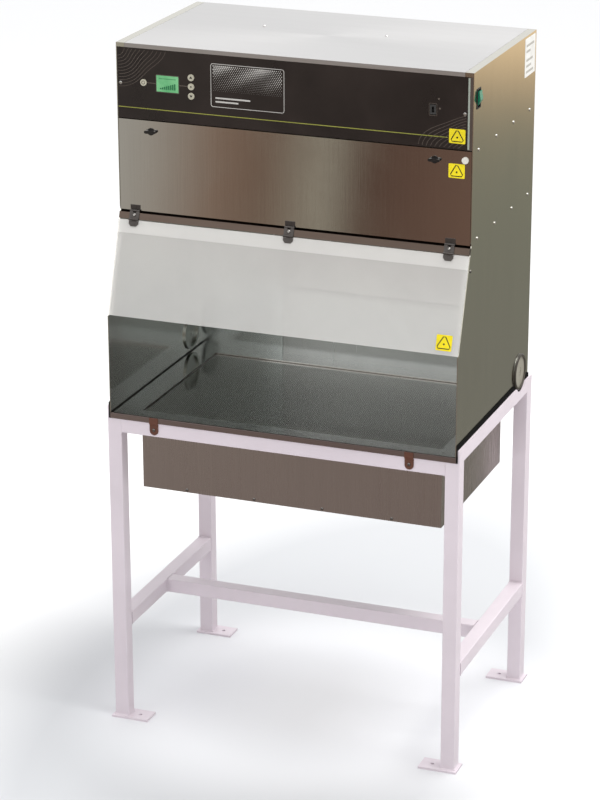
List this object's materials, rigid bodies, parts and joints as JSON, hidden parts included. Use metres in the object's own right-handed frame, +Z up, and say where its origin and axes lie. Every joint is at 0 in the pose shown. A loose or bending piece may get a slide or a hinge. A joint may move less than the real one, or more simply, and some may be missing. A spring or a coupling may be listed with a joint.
{
  "type": "solder fume extractor",
  "caption": "Floor-standing fume extraction cabinet: steel chamber with lifting clear visor, drop-down filter door, control fascia and plenum on a welded tube stand.",
  "frame": {"origin": "floor level at the centre of the rectangle of the four floor bolt holes in the foot plates", "axes": "+Z up along the height, front and visor towards -Y, +X to the operator's right"},
  "size_m": [1.034, 0.68, 1.9424],
  "materials": {
    "stand_paint": "semi-gloss powder coat",
    "clip_metal": "bronze lacquer",
    "stainless": "brushed",
    "stainless_wall": "bright rolled",
    "panel_steel": "fine brushed",
    "lid_paint": "satin",
    "inner_steel": "mill",
    "door_steel": "vertical brushed",
    "strip_rubber": "matt",
    "screw_steel": "bright",
    "fascia_black": "satin film",
    "lcd": "backlit window",
    "port_plastic": "moulded",
    "board": "solder mask",
    "black_plastic": "moulded",
    "rocker_green": "translucent",
    "port_rubber": "matt",
    "filter_media": "felt",
    "filter_case": "fibreboard",
    "galvanised": "spangled",
    "motor_paint": "satin",
    "hinge_steel": "satin",
    "seal_foam": "closed-cell foam",
    "clear_sheet": "clear sheet",
    "plug_nylon": "moulded",
    "latch_metal": "black lacquer",
    "button_grey": "moulded"
  },
  "bodies": {
    "body": {"leg_fl": "stand_paint", "leg_fr": "stand_paint", "leg_rl": "stand_paint", "leg_rr": "stand_paint", "foot_plates": "stand_paint", "side_angle_l": "stand_paint", "side_angle_r": "stand_paint", "front_tube": "stand_paint", "rear_tube": "stand_paint", "low_rail_l": "stand_paint", "low_rail_r": "stand_paint", "cross_rail": "stand_paint", "hold_clips": "clip_metal", "tray": "stainless", "perf_plate": "inner_steel", "plenum_box": "inner_steel", "plenum_pan": "inner_steel", "edge_strips": "strip_rubber", "side_left": "panel_steel", "side_right": "panel_steel", "back_wall_left": "stainless_wall", "back_wall_right": "stainless_wall", "rear_cover": "panel_steel", "lid": "lid_paint", "panel_screws": "screw_steel", "shelf": "inner_steel", "deck": "inner_steel", "hinge_rail": "stainless", "fascia": "fascia_black", "fascia_trim": "stainless", "display": "lcd", "data_port": "port_plastic", "controller": "board", "switch_bezel": "black_plastic", "port_ring_l": "port_rubber", "port_ring_r": "port_rubber", "prefilter": "filter_media", "main_filter": "filter_case", "blower_housing": "galvanised", "motor": "motor_paint", "exhaust_grille": "black_plastic", "mains_inlet": "black_plastic", "hinge_leaf_rail": "hinge_steel", "hinge_pins": "screw_steel", "latch_keepers": "inner_steel", "visor_seals": "seal_foam"},
    "visor": {"visor": "clear_sheet", "visor_leaf": "hinge_steel"},
    "door": {"door": "door_steel", "door_leaf": "hinge_steel", "door_plug": "plug_nylon"},
    "latch_l": {"latch_l": "latch_metal"},
    "latch_r": {"latch_r": "latch_metal"},
    "rocker": {"rocker": "rocker_green"},
    "impeller": {"impeller": "galvanised"},
    "button_1": {"button_1": "button_grey"},
    "button_2": {"button_2": "button_grey"},
    "button_3": {"button_3": "button_grey"},
    "button_4": {"button_4": "button_grey"}
  },
  "joints": [
    {"name": "visor_hinge", "type": "hinge", "parent": "body", "child": "visor", "pos_m": [0, -0.2518, 1.45949], "axis": [-1, 0, 0], "range_deg": [0, 65]},
    {"name": "door_hinge", "type": "hinge", "parent": "body", "child": "door", "pos_m": [0, -0.2396, 1.4807], "axis": [1, 0, 0], "range_deg": [0, 75]},
    {"name": "latch_l_turn", "type": "hinge", "parent": "door", "child": "latch_l", "pos_m": [-0.403, -0.236, 1.704], "axis": [0, -1, 0], "range_deg": [0, 90]},
    {"name": "latch_r_turn", "type": "hinge", "parent": "door", "child": "latch_r", "pos_m": [0.397, -0.236, 1.704], "axis": [0, -1, 0], "range_deg": [0, 90]},
    {"name": "rocker_tilt", "type": "hinge", "parent": "body", "child": "rocker", "pos_m": [0.499, -0.195, 1.866], "axis": [0, -1, 0], "range_deg": [0, 20]},
    {"name": "impeller_spin", "type": "hinge", "parent": "body", "child": "impeller", "pos_m": [0.15, 0.03, 1.79], "axis": [0, 0, 1], "continuous": true},
    {"name": "button_1_press", "type": "slide", "parent": "body", "child": "button_1", "axis": [0, 1, 0], "range_m": [0, 0.0015], "stiffness_N_per_m": 400, "springref_m": -0.001},
    {"name": "button_2_press", "type": "slide", "parent": "body", "child": "button_2", "axis": [0, 1, 0], "range_m": [0, 0.0015], "stiffness_N_per_m": 400, "springref_m": -0.001},
    {"name": "button_3_press", "type": "slide", "parent": "body", "child": "button_3", "axis": [0, 1, 0], "range_m": [0, 0.0015], "stiffness_N_per_m": 400, "springref_m": -0.001},
    {"name": "button_4_press", "type": "slide", "parent": "body", "child": "button_4", "axis": [0, 1, 0], "range_m": [0, 0.0015], "stiffness_N_per_m": 400, "springref_m": -0.001}
  ]
}
